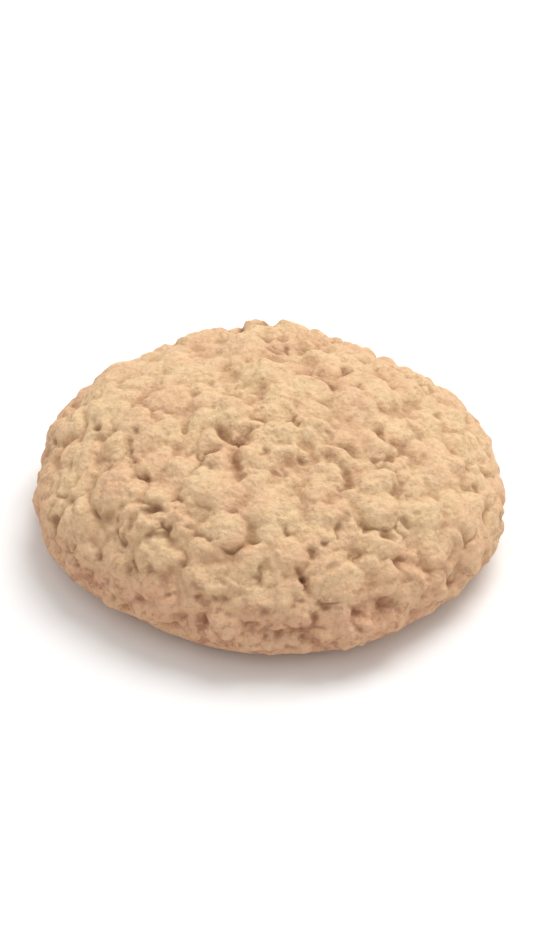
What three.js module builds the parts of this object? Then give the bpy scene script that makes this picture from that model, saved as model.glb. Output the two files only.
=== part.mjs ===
// Amaretti cookie: one crisp, domed almond biscuit. A spooned heap of paste spreads in the oven, dries
// to a crust and cracks into lumps. The sides round under to a flat base, browned where it lay.
// Units are millimetres, +Z is up, the front is -Y, and the origin is the middle of the flat base.
import * as THREE from "three";

// Driving dimensions of the whole biscuit
const WIDTH = 52; // left to right, at the widest line
const HEIGHT = 17.5; // base to crown
const GIRTH_HEIGHT = 4.8; // height of the widest line
const DEPTH_SHARE = 0.975; // front to back against the width, before the outline's bulges
const BASE_SHARE = 0.74; // radius of the flat base against the girth's
const CROWN_POWER = 2.3; // 2 would be an ellipsoid: the heap is a little fuller at its shoulders
const RADIUS = WIDTH / 2;

// Where the outline leaves its oval: [direction in degrees, spread in degrees, millimetres outward]
const OUTLINE_BULGES = [
  [-18, 24, 0.9],
  [-66, 14, 0.4],
  [-128, 24, -1.6],
  [52, 22, -1.1],
  [180, 20, -0.4],
  [77, 8, 0.4],
];

// The crust's lumps. The largest have their own places, as [x, y, reach from middle to foot], and
// smaller ones fill the rest of the crust evenly, each a little off its place.
const MAIN_LUMPS = [
  [-17, 12, 3.6], [-2.5, 13, 3.4], [1, 7.5, 3.2], [-17.5, 3.5, 3], [-10.5, 2.5, 2.6],
  [-4.5, -1, 2.9], [1, 0, 2.5], [5, 4.5, 2.4], [10, 1.5, 2.6], [14, 3.5, 2.2],
  [-11.5, -3, 2.8], [-1, -7.5, 2.2], [5.5, -3.5, 2.4], [6.4, -9.8, 1.4], [11.5, -10.3, 2],
  [-15.5, -9.5, 3], [-6, -12, 3], [-13, -14, 2.4], [0, -15, 2.3], [12.6, -13, 2.2],
  [21.5, -10.5, 2.8], [-4.5, -16.5, 2.2], [-6, -21, 2.4], [7.6, -22, 2.4],
];
const FILLER_COUNT = 485;
const FILLER_REACH = [1.2, 2.3]; // smallest and largest
const FILLER_SCATTER = 1.44; // most that one lies off its even place, along each axis
const LUMP_HEIGHT = 0.25; // from foot to top, against the reach
const LUMP_POWER = 2.6; // 2 would be a dome: the tops are flatter
const LUMP_STEP = 0.45; // most that one lump stands above another
const LUMP_TILT = 0.1; // steepest slope of a lump's top along each axis
const FOOT_ROUND = 0.06; // how softly lumps run together at their feet

// The clefts between lumps are filled here and there, up to an uneven floor below the feet
const CLEFT_DEPTH = 0.28;
const CLEFT_SWING = 0.3;
const CLEFT_LENGTH = 2.5;
const CLEFT_ROUND = 0.05;

// The lumps are lower round the sides of the heap
const SIDE_HEIGHTS = [6, 12]; // all side below the first, all crown above the second
const SIDE_RAGGED = 1.5;
const SIDE_LENGTH = 5;
const SIDE_LOSS = 0.35;

// The main cracks: [x, y, heading in degrees, length, bend in degrees, depth]
const MAIN_CRACKS = [
  [-4.9, -4.2, -45, 2.4, 0, 0.9],
  [-3.3, -5.9, 60, 3, -25, 0.8],
  [-12, -8.6, -10, 2.4, 0, 0.9],
  [-2.7, -7.7, -95, 3, 20, 0.7],
  [4.6, 7.2, 0, 4.8, -65, 0.8],
  [3.2, -1.8, 35, 4.8, -80, 0.6],
  [7.2, -3.5, -58, 3.2, 0, 0.8],
  [12.5, -2.2, -80, 5, -10, 0.8],
  [13.9, -7.2, 185, 3.4, 60, 0.8],
  [6.9, -8, -15, 5.2, -130, 0.9],
  [4.2, -10.8, -72, 6.6, 48, 0.7],
  [-10.8, 5.2, -20, 4.4, -50, 0.7],
  [-11.4, -13.1, 208, 3.8, -10, 0.9],
  [4.9, -19, -90, 3.4, 0, 1],
  [-22.9, -8.4, -85, 2, 0, 0.9],
  [10.3, -15.2, -32, 3.4, 40, 0.7],
];
const CRACK_HALF_WIDTH = 0.75;
const CRACK_DEPTH = 0.55; // at a depth of 1 in the list

// Slow swells of the whole crust, and how far lumps and cracks are drawn out of shape:
// [length of a swing, most that it moves a point, a number that tells this draw from the others]
const SWELL_LENGTH = 11;
const SWELL_RISE = 0.35;
const WANDERS = [
  [5.5, 1, 3],
  [2.6, 0.6, 0],
];

// The crust's relief fades out below the widest line, where the paste kept its skin whole
const PLAIN_HEIGHT = 1.6;
const FULL_RELIEF_HEIGHT = 5.6;

// Size of the facets: fine on the crust, coarse on the flat base
const FACET = 1;
const BASE_RING_SHARES = [0.78, 0.5, 0.22];
const PROFILE_STEPS = 600;

const CRUST_COLOUR = 0xdcb68e;
const CRUST_ROUGHNESS = 0.85;

const radians = THREE.MathUtils.degToRad;
const turn = 2 * Math.PI;
const goldenTurn = Math.PI * (3 - Math.sqrt(5));

// A repeatable draw from 0 to 1 for whole numbers i, j, k
function draw(i, j, k) {
  let h = Math.imul(i, 374761393) + Math.imul(j, 668265263) + Math.imul(k, 1274126177);
  h = Math.imul(h ^ (h >>> 13), 1103515245);
  h = Math.imul(h ^ (h >>> 16), 668265263);
  return ((h ^ (h >>> 15)) >>> 0) / 4294967296;
}

// Smooth noise from -1 to 1 that swings about once in a unit of length
function noise(x, y, z) {
  const corner = [Math.floor(x), Math.floor(y), Math.floor(z)];
  const ease = [x, y, z].map((value, axis) => {
    const f = value - corner[axis];
    return f * f * (3 - 2 * f);
  });
  let sum = 0;
  for (let c = 0; c < 8; c++) {
    const step = [c & 1, (c >> 1) & 1, c >> 2];
    const weight = step.reduce((w, s, axis) => w * (s ? ease[axis] : 1 - ease[axis]), 1);
    sum += weight * draw(corner[0] + step[0], corner[1] + step[1], corner[2] + step[2]);
  }
  return 2 * sum - 1;
}

// The noise at a place, for a length of swing and a shift that tells one use from another
function swing(place, length, x, y = x, z = x) {
  return noise(place.x / length + x, place.y / length + y, place.z / length + z);
}

// Plan radius of the widest line in a direction
function girthRadius(angle) {
  const across = RADIUS * DEPTH_SHARE;
  const oval = (RADIUS * across) / Math.hypot(across * Math.cos(angle), RADIUS * Math.sin(angle));
  return OUTLINE_BULGES.reduce((radius, [direction, spread, out]) => {
    const off = THREE.MathUtils.euclideanModulo((angle * 180) / Math.PI - direction + 180, 360) - 180;
    return radius + out * Math.exp(-((off / spread) ** 2));
  }, oval);
}

// Height of the smooth crown at a share of the girth's radius
function crownHeight(share) {
  return GIRTH_HEIGHT + (HEIGHT - GIRTH_HEIGHT) * Math.sqrt(Math.max(0, 1 - share ** CROWN_POWER));
}

// The section from the crown out to the girth and under to the base's edge: its points hold the share
// of the girth's radius, the height, the length and the skin area so far
function sectionPoints() {
  const points = [];
  for (let i = 0; i <= PROFILE_STEPS; i++) {
    const t = (i / PROFILE_STEPS) * Math.PI;
    const share =
      t < Math.PI / 2
        ? Math.sin(t) ** (2 / CROWN_POWER)
        : BASE_SHARE + (1 - BASE_SHARE) * Math.sin(t);
    const height = t < Math.PI / 2 ? crownHeight(share) : GIRTH_HEIGHT * (1 + Math.cos(t));
    const last = points[i - 1];
    const step = last ? Math.hypot((share - last.share) * RADIUS, height - last.height) : 0;
    points.push({
      share,
      height,
      length: (last?.length ?? 0) + step,
      area: (last?.area ?? 0) + step * turn * RADIUS * share,
    });
  }
  return points;
}

const SECTION = sectionPoints();
const SECTION_END = SECTION[PROFILE_STEPS];

// The section's point at a length or an area from the crown, with its slope
function sectionAt(key, value) {
  const i = Math.max(1, SECTION.findIndex((point) => point[key] >= value));
  const [a, b] = [SECTION[i - 1], SECTION[i]];
  const t = THREE.MathUtils.clamp((value - a[key]) / (b[key] - a[key]), 0, 1);
  return {
    share: THREE.MathUtils.lerp(a.share, b.share, t),
    height: THREE.MathUtils.lerp(a.height, b.height, t),
    run: b.share - a.share,
    rise: b.height - a.height,
  };
}

// A point of the smooth form, and the direction out of it
function smoothPoint({ share, height, run, rise }, angle) {
  const radius = girthRadius(angle);
  const place = new THREE.Vector3(
    share * radius * Math.cos(angle),
    share * radius * Math.sin(angle),
    height,
  );
  const outward = new THREE.Vector3(-rise * Math.cos(angle), -rise * Math.sin(angle), run * radius);
  return { place, outward: outward.normalize() };
}

// A plan point lifted onto the smooth crown
function onCrown(x, y) {
  const share = Math.hypot(x, y) / girthRadius(Math.atan2(y, x));
  return new THREE.Vector3(x, y, crownHeight(share));
}

// The middle, reach, step and tilt of each lump, the main ones first
function lumps() {
  const made = MAIN_LUMPS.map(([x, y, reach]) => ({ place: onCrown(x, y), reach }));
  const mainCount = made.length;
  for (let i = 0; i < FILLER_COUNT; i++) {
    const section = sectionAt("area", ((i + 0.5) / FILLER_COUNT) * SECTION_END.area);
    const { place } = smoothPoint(section, i * goldenTurn);
    place.x += FILLER_SCATTER * (2 * draw(i, 1, 0) - 1);
    place.y += FILLER_SCATTER * (2 * draw(i, 2, 0) - 1);
    place.z += FILLER_SCATTER * (2 * draw(i, 3, 0) - 1);
    const reach = THREE.MathUtils.lerp(...FILLER_REACH, draw(i, 4, 0));
    const inMain = made
      .slice(0, mainCount)
      .some((main) => main.place.distanceTo(place) < 0.85 * main.reach + 0.35 * reach);
    if (!inMain) made.push({ place, reach });
  }
  return made.map((lump, i) => ({
    ...lump,
    step: LUMP_STEP * (draw(i, 5, 0) - 0.5),
    tilt: new THREE.Vector3(...[6, 7, 8].map((salt) => LUMP_TILT * (2 * draw(i, salt, 0) - 1))),
  }));
}

// The middle line of each main crack, as points on the smooth crown
function cracks() {
  const legs = 6;
  return MAIN_CRACKS.map(([x, y, heading, length, bend, depth]) => {
    const line = [onCrown(x, y)];
    for (let i = 0; i < legs; i++) {
      const angle = radians(heading + (bend * (i + 0.5)) / legs);
      x += (length / legs) * Math.cos(angle);
      y += (length / legs) * Math.sin(angle);
      line.push(onCrown(x, y));
    }
    return { line, depth };
  });
}

const LUMPS = lumps();
const CRACKS = cracks();

// The larger of several heights, rounded where they are nearly alike
function softMaximum(heights, round) {
  const top = Math.max(...heights);
  return top + round * Math.log(heights.reduce((sum, height) => sum + Math.exp((height - top) / round), 0));
}

// How far the crust stands out of the smooth form at a point of it
function relief(place) {
  const moved = place.clone();
  for (const [length, most, salt] of WANDERS) {
    const aside = [0, 1, 2].map((axis) => most * swing(place, length, 31 * axis + salt, 0, 0));
    moved.add(new THREE.Vector3(...aside));
  }
  const tops = LUMPS.map(({ place: middle, reach, step, tilt }) => {
    const from = moved.clone().sub(middle);
    const dome = 1 - (from.length() / reach) ** LUMP_POWER;
    return step + LUMP_HEIGHT * reach * dome + from.dot(tilt);
  });
  const floor = CLEFT_SWING * swing(place, CLEFT_LENGTH, 5.1) - CLEFT_DEPTH;
  const lump = softMaximum([softMaximum(tops, FOOT_ROUND), floor], CLEFT_ROUND);
  const level = place.z + SIDE_RAGGED * swing(place, SIDE_LENGTH, 9.1);
  const side = 1 - THREE.MathUtils.smoothstep(level, ...SIDE_HEIGHTS);
  let out = lump * (1 - SIDE_LOSS * side) + SWELL_RISE * swing(place, SWELL_LENGTH, 0, 7, 0);
  for (const { line, depth } of CRACKS) {
    const off = Math.min(...line.map((point) => point.distanceTo(moved)));
    out -= CRACK_DEPTH * depth * Math.exp(-((off / CRACK_HALF_WIDTH) ** 2));
  }
  return out * THREE.MathUtils.smoothstep(place.z, PLAIN_HEIGHT, FULL_RELIEF_HEIGHT);
}

// The skin is made of rings of points from the crown to the middle of the base. Each ring has as many
// points as its length asks for, and a strip of triangles joins it to the one before.
function biscuitGeometry() {
  const points = [];
  const faces = [];
  let last;
  const addRing = (count, offset, pointAt) => {
    const ring = { start: points.length, count, offset };
    for (let i = 0; i < count; i++) points.push(pointAt(((i + offset) / count) * turn));
    if (last) joinRings(faces, last, ring);
    last = ring;
  };
  const rings = Math.round(SECTION_END.length / (FACET * Math.sin(Math.PI / 3)));
  for (let k = 0; k <= rings; k++) {
    const section = sectionAt("length", (k / rings) * SECTION_END.length);
    const count = k ? Math.max(6, Math.round((turn * RADIUS * section.share) / FACET)) : 1;
    addRing(count, (k * 0.618) % 1, (angle) => {
      const { place, outward } = smoothPoint(section, angle);
      return place.clone().addScaledVector(outward, relief(place));
    });
  }
  for (const share of BASE_RING_SHARES) {
    const count = Math.max(6, Math.round((last.count * share) / 1.4));
    addRing(count, 0.5, (angle) => {
      const radius = girthRadius(angle) * BASE_SHARE * share;
      return new THREE.Vector3(radius * Math.cos(angle), radius * Math.sin(angle), 0);
    });
  }
  addRing(1, 0, () => new THREE.Vector3(0, 0, 0));

  const geometry = new THREE.BufferGeometry().setFromPoints(points);
  geometry.setIndex(faces);
  fitToSize(geometry);
  geometry.computeVertexNormals();
  return geometry;
}

// Walks round two rings at once, always stepping on the ring whose next point comes sooner
function joinRings(faces, inner, outer) {
  const at = (ring, i) => ring.start + (i % ring.count);
  const angle = (ring, i) => (ring.count > 1 ? (i + ring.offset) / ring.count : Infinity);
  let [i, j] = [0, 0];
  while (i < inner.count || j < outer.count) {
    const innerDone = i >= inner.count || inner.count === 1;
    const outerDone = j >= outer.count || outer.count === 1;
    if (innerDone && outerDone) break;
    if (outerDone || (!innerDone && angle(inner, i + 1) < angle(outer, j + 1))) {
      faces.push(at(inner, i), at(outer, j), at(inner, i + 1));
      i += 1;
    } else {
      faces.push(at(inner, i), at(outer, j), at(outer, j + 1));
      j += 1;
    }
  }
}

// The relief adds a little to the smooth form: this brings the whole back to its width and height,
// centred over the origin and standing on z = 0
function fitToSize(geometry) {
  geometry.computeBoundingBox();
  const { min, max } = geometry.boundingBox;
  geometry.translate(-(min.x + max.x) / 2, -(min.y + max.y) / 2, -min.z);
  const plan = WIDTH / (max.x - min.x);
  geometry.scale(plan, plan, HEIGHT / (max.z - min.z));
}

const cookie = new THREE.Mesh(
  biscuitGeometry(),
  new THREE.MeshStandardMaterial({ color: CRUST_COLOUR, roughness: CRUST_ROUGHNESS, metalness: 0 }),
);
cookie.name = "cookie";

const amaretti = new THREE.Group();
amaretti.add(cookie);

export default amaretti;
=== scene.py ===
import math

import bpy
import numpy as np
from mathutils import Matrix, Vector


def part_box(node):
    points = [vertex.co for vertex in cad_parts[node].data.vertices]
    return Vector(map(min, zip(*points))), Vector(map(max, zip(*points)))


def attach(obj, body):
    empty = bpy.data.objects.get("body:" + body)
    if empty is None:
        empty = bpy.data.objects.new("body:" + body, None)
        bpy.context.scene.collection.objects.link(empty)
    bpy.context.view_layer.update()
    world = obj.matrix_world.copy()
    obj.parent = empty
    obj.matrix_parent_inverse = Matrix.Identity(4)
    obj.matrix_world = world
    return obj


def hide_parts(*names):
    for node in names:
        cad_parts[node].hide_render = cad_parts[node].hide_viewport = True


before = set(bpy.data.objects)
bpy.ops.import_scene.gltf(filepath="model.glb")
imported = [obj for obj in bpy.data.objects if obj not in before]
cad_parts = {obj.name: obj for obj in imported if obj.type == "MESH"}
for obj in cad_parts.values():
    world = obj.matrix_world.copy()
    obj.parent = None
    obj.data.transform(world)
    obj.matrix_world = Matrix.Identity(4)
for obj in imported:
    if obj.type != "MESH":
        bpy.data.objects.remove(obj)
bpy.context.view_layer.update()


# The cookie: a spoonful of almond paste, egg white and sugar, all one piece. On its flat tray it
# spreads to a low dome and bakes until it is dry and crisp right through. Its skin dries first,
# and breaks into lumps, crumbs and cracks as the inside rises.

# The heap is a dome a little fuller at its shoulders than an ellipsoid, on sides that round under
# to the flat base. Lengths on the cookie are in millimetres, X to its right, -Y to its front.
MM = 0.001
WIDTH = 52.0
HEIGHT = 17.5
GIRTH_HEIGHT = 4.8
DEPTH_SHARE = 0.975
BASE_SHARE = 0.74
CROWN_POWER = 2.3
RADIUS = WIDTH / 2

# Where the outline leaves its oval: direction and spread in degrees, and how far out
OUTLINE_BULGES = (
    (-18, 24, 0.9), (-66, 14, 0.4), (-128, 24, -1.6),
    (52, 22, -1.1), (180, 20, -0.4), (77, 8, 0.4),
)

# A round ball's triangles are laid over the heap, less closely on the flat base
BALL_LEVELS = 6
BALL_CUTS = 2
BASE_WEIGHT = 0.3
SECTION_STEPS = 1200
BASE_STEPS = 60


def draw(i, j, k):
    """A repeatable draw from 0 to 1 for whole numbers i, j, k, which may be arrays.

    Where i numbers the places, j tells one use of the draw from the others.
    """
    i, j, k = (np.asarray(n, np.int64).astype(np.uint32) for n in (i, j, k))
    with np.errstate(over="ignore"):
        h = i * np.uint32(374761393) + j * np.uint32(668265263) + k * np.uint32(1274126177)
        h = (h ^ (h >> np.uint32(13))) * np.uint32(1103515245)
        h = (h ^ (h >> np.uint32(16))) * np.uint32(668265263)
    return (h ^ (h >> np.uint32(15))) / 4294967296.0


def noise(points, length, shift):
    """Smooth noise from -1 to 1 that swings about once in a length. Each use has its own shift."""
    at = points / length + np.asarray(shift)
    low = np.floor(at).astype(np.int64)
    ease = (at - low) ** 2 * (3 - 2 * (at - low))
    total = 0.0
    for corner in np.ndindex(2, 2, 2):
        weight = np.prod(np.where(corner, ease, 1 - ease), axis=1)
        total = total + weight * draw(*(low + corner).T)
    return 2 * total - 1


def smoothstep(value, low, high):
    """Rises smoothly from 0 at low to 1 at high."""
    t = np.clip((value - low) / (high - low), 0, 1)
    return t * t * (3 - 2 * t)


def between(ends, share):
    """The value a share of the way from the first end to the second."""
    return ends[0] + (ends[1] - ends[0]) * share


def girth_radius(angle):
    across = RADIUS * DEPTH_SHARE
    radius = RADIUS * across / np.hypot(across * np.cos(angle), RADIUS * np.sin(angle))
    for direction, spread, out in OUTLINE_BULGES:
        off = (np.degrees(angle) - direction + 180) % 360 - 180
        radius = radius + out * np.exp(-((off / spread) ** 2))
    return radius


def crown_height(share):
    rise = np.sqrt(np.maximum(0, 1 - share**CROWN_POWER))
    return GIRTH_HEIGHT + (HEIGHT - GIRTH_HEIGHT) * rise


def section_points():
    """The section from the crown to the girth, under to the base's edge and in to its middle."""
    t = np.linspace(0, math.pi, SECTION_STEPS + 1)
    above_girth = t < math.pi / 2
    crown = np.sin(t) ** (2 / CROWN_POWER)
    rounded_under = BASE_SHARE + (1 - BASE_SHARE) * np.sin(t)
    share = np.where(above_girth, crown, rounded_under)
    height = np.where(above_girth, crown_height(crown), GIRTH_HEIGHT * (1 + np.cos(t)))
    share = np.append(share, np.linspace(BASE_SHARE, 0, BASE_STEPS)[1:])
    height = np.append(height, np.zeros(BASE_STEPS - 1))
    return share, height


def smooth_form(directions):
    """Lays the points of a round ball over the heap: their places, and the directions outward."""
    share, height = section_points()
    run, rise = np.gradient(share), np.gradient(height)
    step = np.hypot(np.diff(share) * RADIUS, np.diff(height))
    band = step * 2 * math.pi * RADIUS * (share[1:] + share[:-1]) / 2
    band[SECTION_STEPS:] *= BASE_WEIGHT
    skin_area = np.append(0, np.cumsum(band))
    ball_area = (1 - directions[:, 2]) / 2 * skin_area[-1]
    share, height, run, rise = (
        np.interp(ball_area, skin_area, values) for values in (share, height, run, rise)
    )
    angle = np.arctan2(directions[:, 1], directions[:, 0])
    radius = girth_radius(angle)
    c, s = np.cos(angle), np.sin(angle)
    place = np.stack([share * radius * c, share * radius * s, height], axis=1)
    outward = np.stack([-rise * c, -rise * s, run * radius], axis=1)
    outward /= np.linalg.norm(outward, axis=1, keepdims=True)
    return place, outward


def on_crown(x, y):
    x, y = np.broadcast_arrays(np.asarray(x, float), np.asarray(y, float))
    share = np.hypot(x, y) / girth_radius(np.arctan2(y, x))
    return np.stack([x, y, crown_height(share)], axis=-1)


# The lumps that stand out on the crown: x and y of the middle, and reach
MAIN_LUMPS = (
    (-17, 12, 3.6), (-2.5, 13, 3.4), (1, 7.5, 3.2), (-17.5, 3.5, 3.0), (-10.5, 2.5, 2.6),
    (-4.5, -1, 2.9), (1, 0, 2.5), (5, 4.5, 2.4), (10, 1.5, 2.6), (14, 3.5, 2.2),
    (-11.5, -3, 2.8), (-1, -7.5, 2.2), (5.5, -3.5, 2.4), (6.4, -9.8, 1.4), (11.5, -10.3, 2.0),
    (-15.5, -9.5, 3.0), (-6, -12, 3.0), (-13, -14, 2.4), (0, -15, 2.3), (12.6, -13, 2.2),
    (21.5, -10.5, 2.8), (-4.5, -16.5, 2.2), (-6, -21, 2.4), (7.6, -22, 2.4),
)
# Smaller lumps fill the crust between them, evenly spread, each shifted by chance. One that would
# lie nearer to a main lump than these shares of their two reaches, added up, is left out.
FILLER_SPACING = 3.2
FILLER_SCATTER = 0.45
FILLER_REACH = (1.2, 2.3)
MAIN_LUMP_ROOM = 0.85
FILLER_ROOM = 0.35
GOLDEN_TURN = math.pi * (3 - math.sqrt(5))
# Every lump is flattish on top, steps and tilts a little against its neighbours, and runs into
# them at a rounded foot
LUMP_HEIGHT = 0.25
LUMP_POWER = 2.6
LUMP_STEP = 0.45
LUMP_TILT = 0.1
FOOT_ROUND = 0.06
# Points are worked out in lots, to keep the arrays small
POINTS_AT_ONCE = 8000


def spread_places(spacing, scatter, salt):
    """Places spread evenly over the whole skin, each shifted by draws that the salt picks."""
    share, height = section_points()
    share, height = share[:SECTION_STEPS + 1], height[:SECTION_STEPS + 1]
    step = np.hypot(np.diff(share) * RADIUS, np.diff(height))
    skin_area = np.append(0, np.cumsum(step * 2 * math.pi * RADIUS * share[1:]))
    count = round(skin_area[-1] / (spacing**2 * math.sin(math.pi / 3)))
    i = np.arange(count)
    at = (i + 0.5) / count * skin_area[-1]
    s, h = np.interp(at, skin_area, share), np.interp(at, skin_area, height)
    angle = i * GOLDEN_TURN
    radius = girth_radius((angle + math.pi) % (2 * math.pi) - math.pi)
    place = np.stack([s * radius * np.cos(angle), s * radius * np.sin(angle), h], axis=1)
    chance = np.stack([draw(i, axis + salt, 0) for axis in (1, 2, 3)], axis=1)
    return place + scatter * spacing * (2 * chance - 1)


def crust_lumps():
    """The middle, reach, step and tilt of each lump: the main ones, then those between them."""
    x, y, main_reach = np.array(MAIN_LUMPS).T
    middle = on_crown(x, y)
    place = spread_places(FILLER_SPACING, FILLER_SCATTER, 0)
    reach = between(FILLER_REACH, draw(np.arange(len(place)), 4, 0))
    off = np.linalg.norm(place[:, None] - middle[None], axis=2)
    kept = (off >= MAIN_LUMP_ROOM * main_reach[None] + FILLER_ROOM * reach[:, None]).all(axis=1)
    place = np.concatenate([middle, place[kept]])
    reach = np.concatenate([main_reach, reach[kept]])
    i = np.arange(len(reach))
    step = LUMP_STEP * (draw(i, 5, 0) - 0.5)
    tilt = LUMP_TILT * (2 * np.stack([draw(i, salt, 0) for salt in (6, 7, 8)], axis=1) - 1)
    return place, reach, step, tilt


def lumps(points):
    """The height of the lumps at each point, and how far the highest stands over the next."""
    place, reach, step, tilt = crust_lumps()
    height = np.empty(len(points))
    lead = np.empty(len(points))
    for start in range(0, len(points), POINTS_AT_ONCE):
        some = points[start:start + POINTS_AT_ONCE]
        square = (some**2).sum(1)[:, None] + (place**2).sum(1)[None] - 2 * some @ place.T
        far = np.maximum(square, 0) / reach[None] ** 2
        value = step[None] + (LUMP_HEIGHT * reach)[None] * (1 - far ** (LUMP_POWER / 2))
        value += some @ tilt.T - (place * tilt).sum(1)[None]
        second, top = np.partition(value, -2, axis=1)[:, -2:].T
        overlap = np.exp((value - top[:, None]) / FOOT_ROUND).sum(1)
        height[start:start + POINTS_AT_ONCE] = top + FOOT_ROUND * np.log(overlap)
        lead[start:start + POINTS_AT_ONCE] = top - second
    return height, lead


# Crumbs of the crust, and smaller bits between them, one in each cell of a grid. The lift and
# the round of one are shares of its cell.
CRUMB_CELL = 2.0
BIT_CELL = 0.95
CRUMB_LIFT = 0.45
CRUMB_ROUND = 0.035


def crumbs(points, cell, salt):
    """The height of crumbs, each of a place and lift in its own cell drawn by the salt."""
    at = points / cell
    low = np.floor(at).astype(np.int64)
    total = np.zeros(len(points))
    for corner in np.ndindex(3, 3, 3):
        i, j, k = (low + corner - 1).T
        across = i + draw(i, j, k + salt)
        along = j + draw(j, k, i + salt)
        up = k + draw(k, i, j + salt)
        lift = CRUMB_LIFT * draw(i + salt, k, j)
        square = ((at - np.stack([across, along, up], axis=1)) ** 2).sum(1)
        total += np.exp((lift - square) / CRUMB_ROUND)
    return cell * CRUMB_ROUND * np.log(total)


# The clefts between lumps, crumbs and bits are partly filled. Their floor lies at a mean depth
# and swings about it: depth, swing, softness, and the length and shift of the swing's noise.
LUMP_CLEFTS = (0.28, 0.3, 0.05, 2.5, 5.1)
CRUMB_CLEFTS = (0.35, 0.4, 0.04, 1.7, 8.7)
BIT_CLEFTS = (0.16, 0.2, 0.02, 0.9, 1.7)


def filled(height, points, depth, swing, softness, length, shift):
    """The height with its clefts filled up to their uneven floor."""
    floor = -depth + swing * noise(points, length, shift)
    return floor + softness * np.logaddexp(0, (height - floor) / softness)


# The main cracks: x and y of the start, heading, length, bend and depth share. Headings and
# bends are in degrees.
MAIN_CRACKS = (
    (-4.9, -4.2, -45, 2.4, 0, 0.9), (-3.3, -5.9, 60, 3, -25, 0.8), (-12, -8.6, -10, 2.4, 0, 0.9),
    (-2.7, -7.7, -95, 3, 20, 0.7), (4.6, 7.2, 0, 4.8, -65, 0.8), (3.2, -1.8, 35, 4.8, -80, 0.6),
    (7.2, -3.5, -58, 3.2, 0, 0.8), (12.5, -2.2, -80, 5, -10, 0.8),
    (13.9, -7.2, 185, 3.4, 60, 0.8), (6.9, -8, -15, 5.2, -130, 0.9),
    (4.2, -10.8, -72, 6.6, 48, 0.7), (-10.8, 5.2, -20, 4.4, -50, 0.7),
    (-11.4, -13.1, 208, 3.8, -10, 0.9), (4.9, -19, -90, 3.4, 0, 1),
    (-22.9, -8.4, -85, 2, 0, 0.9), (10.3, -15.2, -32, 3.4, 40, 0.7),
)
CRACK_LEGS = 18
CRACK_HALF_WIDTH = 0.55
CRACK_DEPTH = 0.85
# Short cracks between them, of chance heading, length, bend and depth, each narrower
SHORT_SPACING = 3.1
SHORT_SCATTER = 0.5
SHORT_SHARE = 0.4
SHORT_LOWEST = 4.5
SHORT_LENGTH = (1.0, 3.4)
SHORT_BEND = 120
SHORT_DEPTH = (0.2, 0.65)
SHORT_HALF_WIDTH = 0.6 * CRACK_HALF_WIDTH


def crack_lines():
    """Each crack as a line of points on the crown, its depth share and its half width."""
    cracks = [(*crack, CRACK_HALF_WIDTH) for crack in MAIN_CRACKS]
    for k, (x, y, z) in enumerate(spread_places(SHORT_SPACING, SHORT_SCATTER, 60)):
        if z < SHORT_LOWEST or draw(k, 61, 0) > SHORT_SHARE:
            continue
        heading = 360 * draw(k, 62, 0)
        length = between(SHORT_LENGTH, draw(k, 63, 0))
        bend = SHORT_BEND * (draw(k, 64, 0) - 0.5)
        depth = between(SHORT_DEPTH, draw(k, 65, 0))
        cracks.append((x, y, heading, length, bend, depth, SHORT_HALF_WIDTH))
    for x, y, heading, length, bend, depth, half_width in cracks:
        angle = np.radians(heading + bend * (np.arange(CRACK_LEGS) + 0.5) / CRACK_LEGS)
        xs = x + np.append(0, np.cumsum(np.cos(angle))) * length / CRACK_LEGS
        ys = y + np.append(0, np.cumsum(np.sin(angle))) * length / CRACK_LEGS
        yield on_crown(xs, ys), depth, half_width


# Pits where bubbles broke through the skin: x and y of the middle, and radius
MAIN_PITS = (
    (-18.7, 0, 0.5), (-15.5, 0.5, 0.4), (-14.2, -2.5, 0.45), (-16.8, -6.6, 0.5),
    (18.9, 2.4, 0.4), (20.7, 0, 0.4), (23, -2.3, 0.4), (22, -4.3, 0.4), (14.2, -8.5, 0.4),
    (18.8, -8.7, 0.4), (1.9, -10.5, 0.4), (5.9, -17.1, 0.4), (-8.5, -19.5, 0.45),
    (3.9, -8.1, 0.45), (14, -18.8, 0.4), (4.9, -21.8, 0.8), (-22.6, -9, 0.9),
    (7.6, -7.9, 0.8), (8.6, -11, 0.6), (11.3, -8.1, 0.7), (-2.7, -6, 0.6), (-7, -2.5, 0.6),
    (-10.4, -8.9, 0.6), (0.5, -24.4, 0.6), (-6.7, -22, 0.7), (6.4, 6.5, 0.7), (-4, -23.2, 0.5),
)
# Smaller pits of chance place and radius, many low on the sides and few on the crown
SMALL_PIT_SPACING = 2.0
SMALL_PIT_SCATTER = 0.5
SMALL_PIT_RADIUS = (0.2, 0.7)
SMALL_PIT_SHARE = (0.75, 0.03)
SMALL_PIT_HEIGHTS = (4, 12)
# A pit's depth against its radius, the deepest that one goes, and the radius under which one is
# too shallow to get the full painted shade
PIT_DEPTH = 1.3
DEEPEST_PIT = 0.75
DARK_PIT_RADIUS = 0.4
# A crack or a pit cuts only into points near it: within so far round the crack, or so many radii
CRACK_SPREAD = 3
PIT_SPREAD = 5


def pit_places():
    yield from ((on_crown(x, y), radius) for x, y, radius in MAIN_PITS)
    for k, place in enumerate(spread_places(SMALL_PIT_SPACING, SMALL_PIT_SCATTER, 40)):
        share = between(SMALL_PIT_SHARE, smoothstep(place[2], *SMALL_PIT_HEIGHTS))
        if draw(k, 51, 0) < share:
            yield place, between(SMALL_PIT_RADIUS, draw(k, 50, 0) ** 2)


def close_by(points, middle, reach):
    return np.flatnonzero((np.abs(points - middle) < reach).all(axis=1))


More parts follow.
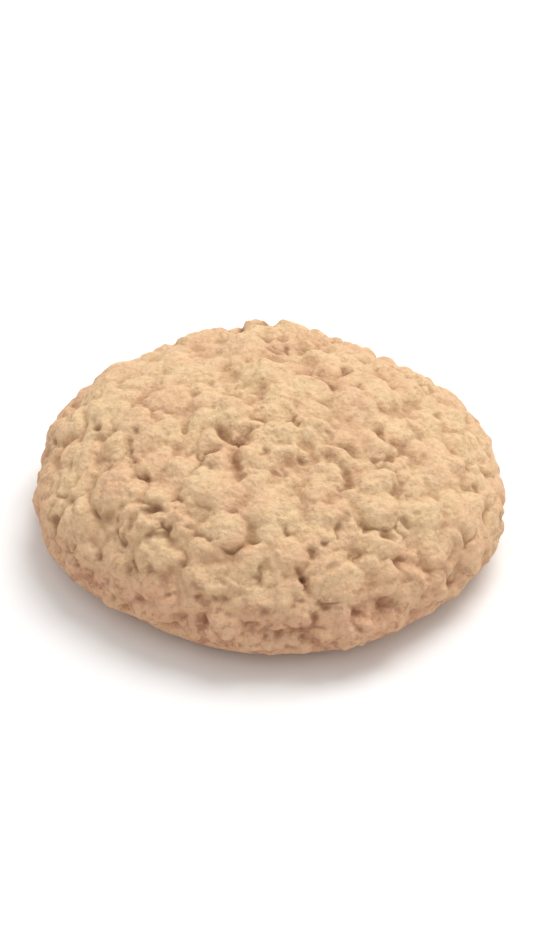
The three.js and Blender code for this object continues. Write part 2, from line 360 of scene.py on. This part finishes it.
def open_up(points, ragged, cut, dark):
    """Adds each crack's and pit's depth to cut, and raises dark to the painted shade it gets
    there.

    Ragged widens or narrows them from point to point: 1 leaves them as they are.
    """
    for line, depth, half_width in crack_lines():
        close = close_by(points, line.mean(0), np.ptp(line, axis=0).max() + CRACK_SPREAD)
        square = ((points[close, None] - line[None]) ** 2).sum(2).min(1)
        opening = depth * np.exp(-square / (half_width * ragged[close]) ** 2)
        cut[close] += CRACK_DEPTH * opening
        dark[close] = np.maximum(dark[close], opening)
    for place, radius in pit_places():
        close = close_by(points, place, PIT_SPREAD * radius)
        square = ((points[close] - place) ** 2).sum(1)
        opening = np.exp(-square / (radius * ragged[close]) ** 2)
        cut[close] += min(PIT_DEPTH * radius, DEEPEST_PIT) * opening
        dark[close] = np.maximum(dark[close], opening * min(1, radius / DARK_PIT_RADIUS))


# How far lumps, crumbs and cracks are drawn out of shape: the length of a swing, the most that it
# moves a point, and the shift of its noise, which is further for each axis
WANDERS = ((5.5, 1.0, 3), (2.6, 0.6, 0), (1.1, 0.25, 7), (0.6, 0.22, 5))
CRUMB_WANDER = (1.3, 0.35, 13)
AXIS_SHIFT = 31

# The sides lie below a ragged line on the heap, and the front is its foremost stretch. Crags are
# rougher patches, more of them towards the front.
SIDE_HEIGHTS = (6, 12)
SIDE_RAGGED = 1.5
SIDE_NOISE = (5, 9.1)
FRONT_REACH = (11, 20)
CRAG_NOISE = (6, 3.3)
CRAG_LEAN = 0.025
CRAG_RANGE = (-0.5, 0.6)
# Where the crust stayed calmer or, with a minus, came out rougher: x and y of the middle, reach,
# and the share of its relief that it lost
CALM_PATCHES = (
    (-11, 9, 8.5, 0.68), (17, 2, 9, 0.4), (-21, -5, 7, 0.25), (19, -11, 7, 0.25),
    (-1, -11, 6, 0.15), (3, 21, 9, -0.6),
)

# How much of each kind of relief shows, in smooth parts and in craggy ones, and how much of that
# is lost on the sides, away from the front and at the front. A loss below 0 is a gain.
LUMP_SHARE = 1.2
LUMP_CALM_LOSS = 0.45
LUMP_SIDE_LOSS = (0.46, 0.21)
CRUMB_SHARE = (0.32, 0.6)
CRUMB_SIDE_LOSS = (0.5, -0.1)
BIT_SHARE = (0.09, 0.32)
FLAKE_SIDE_LOSS = (0.5, -0.2)

# Thin flakes of skin, and chips in the craggy parts: rise, share of it that counts as sunk, the
# range of noise in which the edge lies, and the noise's length and shift
FLAKES = (0.2, 0.5, (-0.1, 0.1), 2.4, 4.4)
CHIPS = (0.12, 0.4, (0.0, 0.16), 1.4, 6.6)

# Slow swells of the whole crust, and a fine roughness of several lengths
SWELL_RISE = 0.35
SWELL_NOISE = (11, (0, 7, 0))
ROUGH_SHARE = 0.08
ROUGH_LENGTHS = (3.2, 1.9, 1.1, 0.65, 0.4)
ROUGH_SHIFT = 17

# Seams open here and there along the line where two lumps meet, as far as neither leads by much
SEAM_DEPTH = 0.34
# How much painted shade an open seam gets
SEAM_DARK = 0.8
SEAM_LEAD = 0.26
SEAM_LEAD_SWING = 0.08
SEAM_LEAD_NOISE = (0.7, 4.9)
SEAM_OPEN = (0.08, 0.5)
SEAM_NOISE = (1.8, 7.7)
SEAM_DRIFT = 0.5
SEAM_DRIFT_NOISE = (4.3, 2.7)
# The width of cracks and pits swings by this share, which makes their edges ragged
RAGGED_SWING = 0.6
RAGGED_NOISE = (0.8, 2.2)

# All relief fades out on the rounded underside, where the paste kept its skin whole
PLAIN_HEIGHT = 1.6
FULL_RELIEF_HEIGHT = 5.6
FRONT_RELIEF_DROP = 1.2
FULL_CRACK_HEIGHT = 4.2


def wandering(points, length, most, shift):
    return np.stack([
        most * noise(points, length, (AXIS_SHIFT * axis + shift, 0, 0)) for axis in (0, 1, 2)
    ], axis=1)


def stepped(points, rise, sunk, edge, length, shift):
    """A thin layer that is there in some places and not in others, with a sharp edge."""
    return rise * (smoothstep(noise(points, length, shift), *edge) - sunk)


def crust_relief(place):
    """How far the crust stands out of the smooth form, and how much painted shade its cracks, pits
    and open seams get.
    """
    x, y, height = place.T
    moved = place + sum(wandering(place, *wander) for wander in WANDERS)
    side = 1 - smoothstep(height + SIDE_RAGGED * noise(place, *SIDE_NOISE), *SIDE_HEIGHTS)
    front = smoothstep(-y, *FRONT_REACH)
    craggy = smoothstep(noise(place, *CRAG_NOISE) - CRAG_LEAN * y, *CRAG_RANGE)
    calm = sum(
        loss * np.exp(-((x - middle_x) ** 2 + (y - middle_y) ** 2) / reach**2)
        for middle_x, middle_y, reach, loss in CALM_PATCHES
    )
    rugged = 1 - calm

    lump, lead = lumps(moved)
    out = filled(lump, place, *LUMP_CLEFTS)
    out *= (LUMP_SHARE - LUMP_CALM_LOSS * calm) * (1 - between(LUMP_SIDE_LOSS, front) * side)
    crumb = crumbs(moved + wandering(place, *CRUMB_WANDER), CRUMB_CELL, 5)
    crumb = between(CRUMB_SHARE, craggy) * filled(crumb, place, *CRUMB_CLEFTS)
    out += rugged * (1 - between(CRUMB_SIDE_LOSS, front) * side) * crumb
    bit = filled(crumbs(moved, BIT_CELL, 11), place, *BIT_CLEFTS)
    out += rugged * between(BIT_SHARE, craggy) * bit
    flake = stepped(moved, *FLAKES) + craggy * stepped(moved, *CHIPS)
    out += rugged * (1 - between(FLAKE_SIDE_LOSS, front) * side) * flake
    for n, length in enumerate(ROUGH_LENGTHS):
        out += ROUGH_SHARE * length * noise(place, length, ROUGH_SHIFT * n)
    out += SWELL_RISE * noise(place, *SWELL_NOISE)

    broken = noise(moved, *SEAM_NOISE) + SEAM_DRIFT * noise(place, *SEAM_DRIFT_NOISE)
    narrow = SEAM_LEAD + SEAM_LEAD_SWING * noise(place, *SEAM_LEAD_NOISE)
    seam = smoothstep(broken, *SEAM_OPEN) * np.exp(-((lead / narrow) ** 2))
    cut, dark = SEAM_DEPTH * seam, SEAM_DARK * seam
    open_up(moved, 1 + RAGGED_SWING * noise(place, *RAGGED_NOISE), cut, dark)

    kept = smoothstep(height, PLAIN_HEIGHT, FULL_RELIEF_HEIGHT - FRONT_RELIEF_DROP * front)
    cracked = rugged * smoothstep(height, PLAIN_HEIGHT, FULL_CRACK_HEIGHT)
    return kept * out - cracked * cut, cracked * dark


def even_out(values, edges, rounds):
    """Each value drawn halfway to its neighbours' mean, round after round."""
    count = np.bincount(edges.ravel(), minlength=len(values))
    for _ in range(rounds):
        total = np.bincount(edges[:, 0], values[edges[:, 1]], len(values))
        total += np.bincount(edges[:, 1], values[edges[:, 0]], len(values))
        values = (values + total / count) / 2
    return values


# The ball is cut fine, laid over the heap and moved out by the relief. Half a round of evening
# out takes the harshest edges off.
bpy.ops.object.select_all(action="DESELECT")
bpy.ops.mesh.primitive_ico_sphere_add(subdivisions=BALL_LEVELS, radius=1)
cookie = bpy.context.object
cookie.name = cookie.data.name = "crust_and_crumb"
bpy.ops.object.mode_set(mode="EDIT")
bpy.ops.mesh.select_all(action="SELECT")
bpy.ops.mesh.subdivide(number_cuts=BALL_CUTS)
bpy.ops.object.mode_set(mode="OBJECT")

ball = np.empty(len(cookie.data.vertices) * 3)
cookie.data.vertices.foreach_get("co", ball)
ball = ball.reshape(-1, 3)
ball /= np.linalg.norm(ball, axis=1, keepdims=True)
edges = np.empty(len(cookie.data.edges) * 2, np.int32)
cookie.data.edges.foreach_get("vertices", edges)
edges = edges.reshape(-1, 2)
place, outward = smooth_form(ball)
relief, dark = crust_relief(place)
relief = (relief + even_out(relief, edges, 1)) / 2
skin = place + outward * relief[:, None]

# The relief adds a little to the heap, so the skin is fitted to the cookie's own size again
low, high = (np.array(corner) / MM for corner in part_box("cookie"))
skin = low + (skin - skin.min(0)) * (high - low) / np.ptp(skin, axis=0)
cookie.data.vertices.foreach_set("co", (skin * MM).ravel())
cookie.data.update()
bpy.ops.object.shade_smooth()

# What the crust's colour follows besides its cracks and pits: how deep a point lies against the
# crust around it, for painted shade in its hollows, and how far it is down the sides, which show
# most at the front and less on the right. Down the sides the crust is partly browner from baking
# and partly painted shade: more at the front, which faces away from the light, and less on the
# right, where the light falls.
HOLLOW_ROUNDS = 90
HOLLOW_DEPTH = 0.4
UNDER_HEIGHTS = (2, 13)
UNDER_RIGHT_LOSS = 0.6
UNDER_RIGHT_REACH = (4, 24)
UNDER_FRONT_SHARE = (0.75, 1.25)
UNDER_FRONT_REACH = (8, 22)
hollow_shade = np.clip((even_out(relief, edges, HOLLOW_ROUNDS) - relief) / HOLLOW_DEPTH, 0, 1)
under = 1 - smoothstep(place[:, 2], *UNDER_HEIGHTS)
# Partly browning and partly painted shade: kept low on the right, where the light falls, and
# raised at the front, which faces away from it
under *= 1 - UNDER_RIGHT_LOSS * smoothstep(place[:, 0], *UNDER_RIGHT_REACH)
under *= between(UNDER_FRONT_SHARE, smoothstep(-place[:, 1], *UNDER_FRONT_REACH))
for name, values in (("hollow_shade", hollow_shade), ("dark", dark), ("under", under)):
    attribute = cookie.data.attributes.new(name, "FLOAT", "POINT")
    attribute.data.foreach_set("value", values)


def linear(hex_colour):
    """An sRGB hex colour as linear red, green, blue and alpha."""
    parts = [int(hex_colour[i:i + 2], 16) / 255 for i in (1, 3, 5)]
    return [c / 12.92 if c <= 0.04045 else ((c + 0.055) / 1.055) ** 2.4 for c in parts] + [1]


def add_node(material, kind, settings=None, **links):
    """Adds a node, sets its properties and sockets, and links sockets to other nodes' outputs.

    A socket goes by its label or, where several share a label, by its number: _0 in a link.
    """
    node = material.node_tree.nodes.new(kind)
    for name, value in (settings or {}).items():
        if isinstance(name, str) and hasattr(node, name):
            setattr(node, name, value)
        else:
            node.inputs[name].default_value = value
    for name, output in links.items():
        socket = int(name[1:]) if name[0] == "_" else name.replace("_", " ")
        material.node_tree.links.new(node.inputs[socket], output)
    return node


def laid_over(material, colour, layers):
    """Lays more colours over a colour. Each is a hex colour or a node's output.

    A layer gives its colour, what its amount follows, the range that it follows there, and the
    amount at either end of that range.
    """
    for over, follows, low, high, at_low, at_high in layers:
        amount = add_node(material, "ShaderNodeMapRange", {
            "From Min": low, "From Max": high, "To Min": at_low, "To Max": at_high,
        }, Value=follows)
        settings = {"data_type": "RGBA"}
        links = {"_0": amount.outputs["Result"]}
        for socket, value in ((6, colour), (7, over)):
            if isinstance(value, str):
                settings[socket] = linear(value)
            else:
                links[f"_{socket}"] = value
        colour = add_node(material, "ShaderNodeMix", settings, **links).outputs[2]
    return colour


# Baked almond crust: paste that dried in the oven to a matte skin. It is sandy tan and a little
# uneven in hue, painted darker in its hollows, cracks and pits as shade, and browner and mottled
# down its sides, partly from baking and partly as painted shade.
# The almond is ground to about half a millimetre, which gives the eye a fine, dry grain with
# paler flecks in it.
GRAIN = 0.5
MOTTLE = 1.3
BLOTCH = 5
SPECK_DEPTH = 0.2
GRAIN_DEPTH = 0.32
SMOOTHEST = 0.74
ROUGHEST = 0.92
crust = bpy.data.materials.new("baked almond crust")
crust.use_nodes = True
shader = crust.node_tree.nodes["Principled BSDF"]
# The IOR is a usual value for dry food. A porous skin mirrors less than a closed one.
shader.inputs["IOR"].default_value = 1.45
shader.inputs["Specular IOR Level"].default_value = 0.35
where = add_node(crust, "ShaderNodeTexCoord").outputs["Object"]
painted_hollow_shade, painted_crack_shade, side_browning_and_shade = (
    add_node(crust, "ShaderNodeAttribute", {"attribute_name": name}).outputs["Fac"]
    for name in ("hollow_shade", "dark", "under")
)
blotches, mottling, grains = (
    add_node(crust, "ShaderNodeTexNoise", {
        "Scale": 1 / (size * MM), "Detail": detail, "Roughness": roughness,
    }, Vector=where).outputs["Fac"]
    for size, detail, roughness in ((BLOTCH, 3, 0.5), (MOTTLE, 3, 0.7), (GRAIN, 5, 0.65))
)
tan = laid_over(crust, "#deb58e", (
    ("#e2c196", blotches, 0.38, 0.62, 0, 1),
    ("#bf9168", grains, 0.5, 0.72, 0, 0.5),
    ("#efdcbe", grains, 0.48, 0.3, 0, 0.25),
    # Painted shade in the hollows, darker the deeper a point lies against the crust around it
    ("#a87c58", painted_hollow_shade, 0.2, 1, 0, 0.5),
))
mottled = laid_over(crust, tan, (
    ("#956c53", mottling, 0.5, 0.64, 0, 0.9),
    ("#ecd0ae", mottling, 0.44, 0.32, 0, 0.8),
))
baked = laid_over(crust, tan, (
    # Mottled down the sides, partly from baking and partly as painted shade
    (mottled, side_browning_and_shade, 0.05, 0.8, 0.25, 1),
    # Painted shade in the cracks, pits and open seams
    ("#80563a", painted_crack_shade, 0.2, 1, 0, 0.75),
    # Browner down the sides, partly from baking and partly painted shade
    ("#ca9477", side_browning_and_shade, 0, 0.6, 0, 0.45),
))
dryness = add_node(crust, "ShaderNodeMapRange", {
    "From Min": 0.3, "From Max": 0.7, "To Min": SMOOTHEST, "To Max": ROUGHEST,
}, Value=grains)
speck = add_node(crust, "ShaderNodeTexVoronoi", {
    "feature": "SMOOTH_F1", "Scale": 1 / (GRAIN * MM), "Smoothness": 0.4,
}, Vector=where)
specks_bump = add_node(crust, "ShaderNodeBump", {
    "invert": True, "Strength": 0.5, "Distance": SPECK_DEPTH * MM,
}, Height=speck.outputs["Distance"])
grain_bump = add_node(crust, "ShaderNodeBump", {
    "Strength": 0.8, "Distance": GRAIN_DEPTH * MM,
}, Height=grains, Normal=specks_bump.outputs["Normal"])
for socket, output in (
    ("Base Color", baked),
    ("Roughness", dryness.outputs["Result"]),
    ("Normal", grain_bump.outputs["Normal"]),
):
    crust.node_tree.links.new(shader.inputs[socket], output)

cookie.data.materials.append(crust)
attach(cookie, "root")
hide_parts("cookie")


# The studio: a wide sheet of matte white paper lies under the cookie. One round soft light hangs
# above and behind it, to the right, and even white light comes from all round. Lengths here are
# in metres.
FLOOR_SIZE = 8
bpy.ops.object.select_all(action="DESELECT")
bpy.ops.mesh.primitive_plane_add(size=FLOOR_SIZE)
floor = bpy.context.object
floor.name = "floor"
paper = bpy.data.materials.new("matte white paper")
paper.use_nodes = True
paper_shader = paper.node_tree.nodes["Principled BSDF"]
paper_shader.inputs["Base Color"].default_value = linear("#f2f1f0")
paper_shader.inputs["Roughness"].default_value = 0.9
floor.data.materials.append(paper)

LIGHT_SIZE = 0.8
LIGHT_POWER = 8.9
LIGHT_AZIMUTH = math.radians(36)
LIGHT_ELEVATION = math.radians(60)
LIGHT_DISTANCE = 1.1
soft_light = bpy.data.lights.new("soft_light", "AREA")
soft_light.shape = "DISK"
soft_light.size = LIGHT_SIZE
soft_light.energy = LIGHT_POWER
light = bpy.data.objects.new("soft_light", soft_light)
bpy.context.scene.collection.objects.link(light)
light.location = LIGHT_DISTANCE * Vector((
    math.cos(LIGHT_ELEVATION) * math.sin(LIGHT_AZIMUTH),
    math.cos(LIGHT_ELEVATION) * math.cos(LIGHT_AZIMUTH),
    math.sin(LIGHT_ELEVATION),
))
light.rotation_euler = (-light.location).to_track_quat("-Z", "Y").to_euler()

LIGHT_ALL_ROUND = 0.76
studio = bpy.context.scene.world or bpy.data.worlds.new("studio")
bpy.context.scene.world = studio
studio.use_nodes = True
background = studio.node_tree.nodes["Background"]
background.inputs["Color"].default_value = (1, 1, 1, 1)
background.inputs["Strength"].default_value = LIGHT_ALL_ROUND
bpy.context.scene.view_settings.view_transform = "Standard"

# The camera looks down at the cookie from the front. The cookie fills most of the picture's width.
CAMERA_ELEVATION = math.radians(39)
CAMERA_DISTANCE = 0.44
TARGET = Vector((0, 0, 0.008))
PICTURE_WIDTH = 538
PICTURE_HEIGHT = 938
WIDTH_FILLED = 0.88
SENSOR_WIDTH = 36
NEAREST_SEEN = 0.01
camera_data = bpy.data.cameras.new("camera")
camera = bpy.data.objects.new("camera", camera_data)
bpy.context.scene.collection.objects.link(camera)
bpy.context.scene.camera = camera
towards = Vector((0, -math.cos(CAMERA_ELEVATION), math.sin(CAMERA_ELEVATION)))
camera.location = TARGET + CAMERA_DISTANCE * towards
camera.rotation_euler = (-towards).to_track_quat("-Z", "Y").to_euler()
camera_data.sensor_width = SENSOR_WIDTH
seen_width = WIDTH * MM / WIDTH_FILLED
seen_on_sensor = SENSOR_WIDTH * PICTURE_WIDTH / PICTURE_HEIGHT
camera_data.lens = seen_on_sensor * CAMERA_DISTANCE / seen_width
camera_data.clip_start = NEAREST_SEEN
